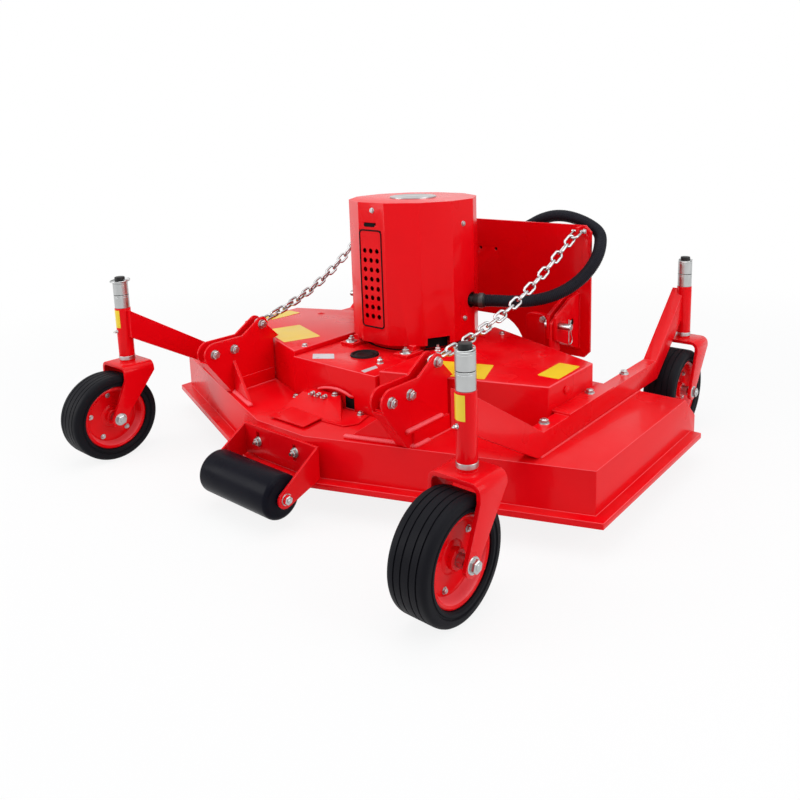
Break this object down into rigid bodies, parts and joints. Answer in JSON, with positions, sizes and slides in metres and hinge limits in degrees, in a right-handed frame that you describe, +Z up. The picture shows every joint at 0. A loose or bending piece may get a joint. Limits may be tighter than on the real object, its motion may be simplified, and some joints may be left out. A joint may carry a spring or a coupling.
{
  "type": "front-mounted mower",
  "caption": "Rotary mower deck on swivelling casters, with belt covers, a twelve-sided motor tower, hinged hitch plate held by chains, and a front roller.",
  "frame": {"origin": "on the floor, midway between the casters' tread extremes fore and aft and on the machine's centre line", "axes": "+X to the side that carries the hose, -Y to the front with the roller, +Z up"},
  "size_m": [1.66, 1.466, 0.775],
  "materials": {
    "red_paint": "glossy",
    "zinc_plate": "bright zinc plate",
    "tyre_rubber": "solid rubber, worn matt",
    "black_rubber": "satin",
    "black_paint": "satin",
    "bare_steel": "dull"
  },
  "bodies": {
    "frame": {"deck": "red_paint", "side_frame_left": "red_paint", "side_frame_right": "red_paint", "chain_bracket_left": "red_paint", "chain_bracket_right": "red_paint", "belt_cover_left": "red_paint", "belt_cover_right": "red_paint", "drive_box": "red_paint", "box_plug": "black_rubber", "tower_housing": "red_paint", "tower_cap": "zinc_plate", "hydraulic_motor": "black_paint", "vent_door": "red_paint", "grease_bracket": "red_paint", "roller_bracket": "red_paint", "hose_fitting": "black_paint", "hydraulic_hose": "black_rubber"},
    "caster_front_left": {"caster_fork_front_left": "red_paint", "spacer_rings_front_left": "zinc_plate"},
    "wheel_front_left": {"wheel_rim_front_left": "red_paint", "tyre_front_left": "tyre_rubber"},
    "caster_front_right": {"caster_fork_front_right": "red_paint", "spacer_rings_front_right": "zinc_plate"},
    "wheel_front_right": {"wheel_rim_front_right": "red_paint", "tyre_front_right": "tyre_rubber"},
    "caster_rear_left": {"caster_fork_rear_left": "red_paint", "spacer_rings_rear_left": "zinc_plate"},
    "wheel_rear_left": {"wheel_rim_rear_left": "red_paint", "tyre_rear_left": "tyre_rubber"},
    "caster_rear_right": {"caster_fork_rear_right": "red_paint", "spacer_rings_rear_right": "zinc_plate"},
    "wheel_rear_right": {"wheel_rim_rear_right": "red_paint", "tyre_rear_right": "tyre_rubber"},
    "rotor_left": {"blade_rotor_left": "bare_steel"},
    "rotor_middle": {"blade_rotor_middle": "bare_steel"},
    "rotor_right": {"blade_rotor_right": "bare_steel"},
    "roller": {"front_roller": "black_rubber"},
    "hitch": {"hitch_plate": "red_paint", "hinge_pin_left": "zinc_plate", "hinge_pin_right": "zinc_plate", "shackle_left": "zinc_plate", "shackle_right": "zinc_plate", "hose_coupler": "bare_steel"},
    "chain_left": {"chain_left": "zinc_plate"},
    "chain_right": {"chain_right": "zinc_plate"}
  },
  "joints": [
    {"name": "swivel_front_left", "type": "hinge", "parent": "frame", "child": "caster_front_left", "pos_m": [-0.66, -0.527, 0.3], "axis": [0, 0, 1], "continuous": true},
    {"name": "wheel_spin_front_left", "type": "hinge", "parent": "caster_front_left", "child": "wheel_front_left", "pos_m": [-0.66, -0.602, 0.131], "axis": [1, 0, 0], "continuous": true},
    {"name": "swivel_front_right", "type": "hinge", "parent": "frame", "child": "caster_front_right", "pos_m": [0.66, -0.527, 0.3], "axis": [0, 0, 1], "continuous": true},
    {"name": "wheel_spin_front_right", "type": "hinge", "parent": "caster_front_right", "child": "wheel_front_right", "pos_m": [0.66, -0.602, 0.131], "axis": [1, 0, 0], "continuous": true},
    {"name": "swivel_rear_left", "type": "hinge", "parent": "frame", "child": "caster_rear_left", "pos_m": [-0.66, 0.677, 0.3], "axis": [0, 0, 1], "continuous": true},
    {"name": "wheel_spin_rear_left", "type": "hinge", "parent": "caster_rear_left", "child": "wheel_rear_left", "pos_m": [-0.66, 0.602, 0.131], "axis": [1, 0, 0], "continuous": true},
    {"name": "swivel_rear_right", "type": "hinge", "parent": "frame", "child": "caster_rear_right", "pos_m": [0.66, 0.677, 0.3], "axis": [0, 0, 1], "continuous": true},
    {"name": "wheel_spin_rear_right", "type": "hinge", "parent": "caster_rear_right", "child": "wheel_rear_right", "pos_m": [0.66, 0.602, 0.131], "axis": [1, 0, 0], "continuous": true},
    {"name": "rotor_spin_left", "type": "hinge", "parent": "frame", "child": "rotor_left", "pos_m": [-0.52, 0.06, 0.12], "axis": [0, 0, 1], "continuous": true},
    {"name": "rotor_spin_middle", "type": "hinge", "parent": "frame", "child": "rotor_middle", "pos_m": [0, -0.105, 0.12], "axis": [0, 0, 1], "continuous": true},
    {"name": "rotor_spin_right", "type": "hinge", "parent": "frame", "child": "rotor_right", "pos_m": [0.52, 0.06, 0.12], "axis": [0, 0, 1], "continuous": true},
    {"name": "roller_spin", "type": "hinge", "parent": "frame", "child": "roller", "pos_m": [0, -0.587, 0.088], "axis": [1, 0, 0], "continuous": true},
    {"name": "hitch_tilt", "type": "hinge", "parent": "frame", "child": "hitch", "pos_m": [0, 0.273, 0.378], "axis": [1, 0, 0], "range_deg": [0, 2.5]},
    {"name": "chain_swing_left", "type": "hinge", "parent": "frame", "child": "chain_left", "pos_m": [-0.35, -0.257, 0.392], "axis": [1, 0, 0], "range_deg": [0, 0.634]},
    {"name": "chain_swing_right", "type": "hinge", "parent": "frame", "child": "chain_right", "pos_m": [0.35, -0.257, 0.392], "axis": [1, 0, 0], "range_deg": [0, 0.634]}
  ],
  "couplings": [
    {"joint": "chain_swing_left", "follows": "hitch_tilt", "ratio": 0.2533},
    {"joint": "chain_swing_right", "follows": "hitch_tilt", "ratio": 0.2533}
  ]
}
